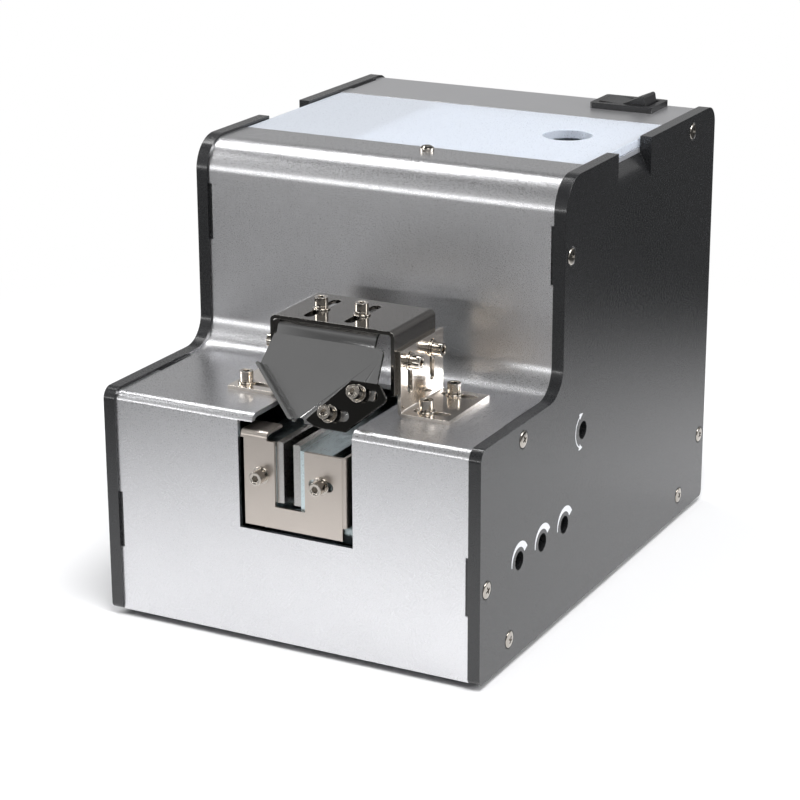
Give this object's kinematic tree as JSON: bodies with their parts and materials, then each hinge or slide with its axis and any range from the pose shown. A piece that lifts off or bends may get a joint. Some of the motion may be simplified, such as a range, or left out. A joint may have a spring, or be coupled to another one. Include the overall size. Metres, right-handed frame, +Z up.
{
  "type": "automatic screw feeder",
  "caption": "Bench screw feeder with a lidded hopper, a vibrating screw track and an adjustable bit guide over its exit, in a sheet-metal case.",
  "frame": {"origin": "on the bench, below the middle of the feeder's overall box", "axes": "+X to the right as seen from the front, +Y from the exit to the back, +Z up"},
  "size_m": [0.131, 0.1853, 0.1474],
  "materials": {
    "satin_silver": "fine bead-blasted, satin",
    "rear_grey": "fine matt grey",
    "panel_black": "fine textured satin black",
    "base_black": "matt black",
    "black_rubber": "matt",
    "nickel_screw": "bright nickel",
    "warm_nickel": "satin nickel plate",
    "hood_nickel": "bright nickel plate",
    "guide_satin": "satin",
    "jaw_nickel": "dark bright nickel",
    "zinc_block": "clear blue zinc plate",
    "rail_steel": "ground",
    "frosted_lid": "translucent, frosted",
    "hopper_grey": "satin",
    "switch_black": "satin",
    "board_green": "solder mask",
    "component_black": "matt",
    "trimmer_blue": "satin",
    "rotor_white": "matt",
    "spring_steel": "blued",
    "cast_grey": "painted",
    "magnet_iron": "laminated",
    "copper_winding": "enamelled copper",
    "motor_silver": "plated",
    "gear_nylon": "matt",
    "wheel_plastic": "satin",
    "bristle": "nylon bristle",
    "bronze_bush": "oiled bronze"
  },
  "bodies": {
    "root": {"base_plate": "base_black", "rubber_feet": "black_rubber", "front_cover": "satin_silver", "rear_cover": "rear_grey", "side_panel_right": "panel_black", "side_panel_left": "panel_black", "side_screws_right": "nickel_screw", "side_screws_left": "nickel_screw", "cover_screw": "nickel_screw", "hopper": "hopper_grey", "rocker_housing": "switch_black", "power_inlet": "switch_black", "board_bracket": "motor_silver", "control_board": "board_green", "board_components": "component_black", "trimmer_bodies": "trimmer_blue", "rubber_isolators": "black_rubber", "spring_base": "cast_grey", "leaf_springs": "spring_steel", "lower_clamps": "spring_steel", "magnet_core": "magnet_iron", "magnet_coil": "copper_winding", "bracket_screws": "nickel_screw", "mechanism_plate": "motor_silver", "gear_motor": "motor_silver", "shaft_bushes": "bronze_bush"},
    "lid": {"hopper_lid": "frosted_lid"},
    "rocker": {"rocker_paddle": "switch_black"},
    "speed_adjuster": {"speed_rotor": "rotor_white"},
    "vibration_adjuster": {"vibration_rotor": "rotor_white"},
    "roller_adjuster": {"roller_rotor": "rotor_white"},
    "tray": {"rail_carrier": "zinc_block", "armature": "magnet_iron", "upper_clamps": "spring_steel", "rail_block_left": "zinc_block", "rail_left": "rail_steel", "guide_pins": "rail_steel", "exit_plate": "warm_nickel", "exit_screw_left": "nickel_screw"},
    "right_rail": {"rail_block_right": "zinc_block", "rail_right": "rail_steel", "exit_screw_right": "nickel_screw"},
    "gate_screw": {"gate_screw": "nickel_screw"},
    "brackets": {"hood_bracket_left": "warm_nickel", "hood_bracket_right": "warm_nickel"},
    "hood": {"hood": "hood_nickel", "hood_screws": "nickel_screw"},
    "bit_guide": {"bit_guide": "guide_satin", "bit_guide_screws": "nickel_screw", "jaw_screws": "nickel_screw"},
    "jaw": {"guide_jaw": "jaw_nickel"},
    "wheel": {"wheel_shaft": "rail_steel", "scoop_wheel": "wheel_plastic", "wheel_gear": "gear_nylon"},
    "brush": {"brush_shaft": "rail_steel", "brush_roller": "bristle", "brush_gear": "gear_nylon"}
  },
  "joints": [
    {"name": "lid_lift", "type": "slide", "parent": "root", "child": "lid", "axis": [0, 0, 1], "range_m": [0, 0.03]},
    {"name": "power_rocker", "type": "hinge", "parent": "root", "child": "rocker", "pos_m": [0.0388, 0.07925, 0.141], "axis": [0, 1, 0], "range_deg": [0, 20]},
    {"name": "speed_turn", "type": "hinge", "parent": "root", "child": "speed_adjuster", "pos_m": [0.0602, -0.06155, 0.0326], "axis": [1, 0, 0], "range_deg": [-135, 135]},
    {"name": "vibration_turn", "type": "hinge", "parent": "root", "child": "vibration_adjuster", "pos_m": [0.0602, -0.04495, 0.0326], "axis": [1, 0, 0], "range_deg": [-135, 135]},
    {"name": "roller_turn", "type": "hinge", "parent": "root", "child": "roller_adjuster", "pos_m": [0.0602, -0.02835, 0.0326], "axis": [1, 0, 0], "range_deg": [-135, 135]},
    {"name": "track_vibration", "type": "slide", "parent": "root", "child": "tray", "axis": [0, -0.9848, 0.1736], "range_m": [-0.0003, 0.0003], "stiffness_N_per_m": 20000, "deforming": ["leaf_springs"]},
    {"name": "gate_turn", "type": "hinge", "parent": "tray", "child": "gate_screw", "pos_m": [0.03, -0.01535, 0.0599], "axis": [1, 0, 0], "range_deg": [-824, 1236]},
    {"name": "rail_gap", "type": "slide", "parent": "tray", "child": "right_rail", "axis": [1, 0, 0], "range_m": [-0.0024, 0.0016]},
    {"name": "bracket_shift", "type": "slide", "parent": "root", "child": "brackets", "axis": [1, 0, 0], "range_m": [-0.0055, 0.0002]},
    {"name": "hood_height", "type": "slide", "parent": "brackets", "child": "hood", "axis": [0, 0, 1], "range_m": [-0.0008, 0.0015]},
    {"name": "guide_slide", "type": "slide", "parent": "hood", "child": "bit_guide", "axis": [0, 1, 0], "range_m": [-0.005, 0.001]},
    {"name": "jaw_slide", "type": "slide", "parent": "bit_guide", "child": "jaw", "axis": [1, 0, 0], "range_m": [-0.003, 0.0002]},
    {"name": "wheel_turn", "type": "hinge", "parent": "root", "child": "wheel", "pos_m": [-0.015, 0.03045, 0.06], "axis": [1, 0, 0], "continuous": true},
    {"name": "brush_turn", "type": "hinge", "parent": "root", "child": "brush", "pos_m": [0, 0.00653, 0.0805], "axis": [1, 0, 0], "continuous": true}
  ],
  "couplings": [
    {"joint": "gate_turn", "follows": "rail_gap", "rad_per_m": -8976},
    {"joint": "brush_turn", "follows": "wheel_turn", "ratio": -2}
  ]
}
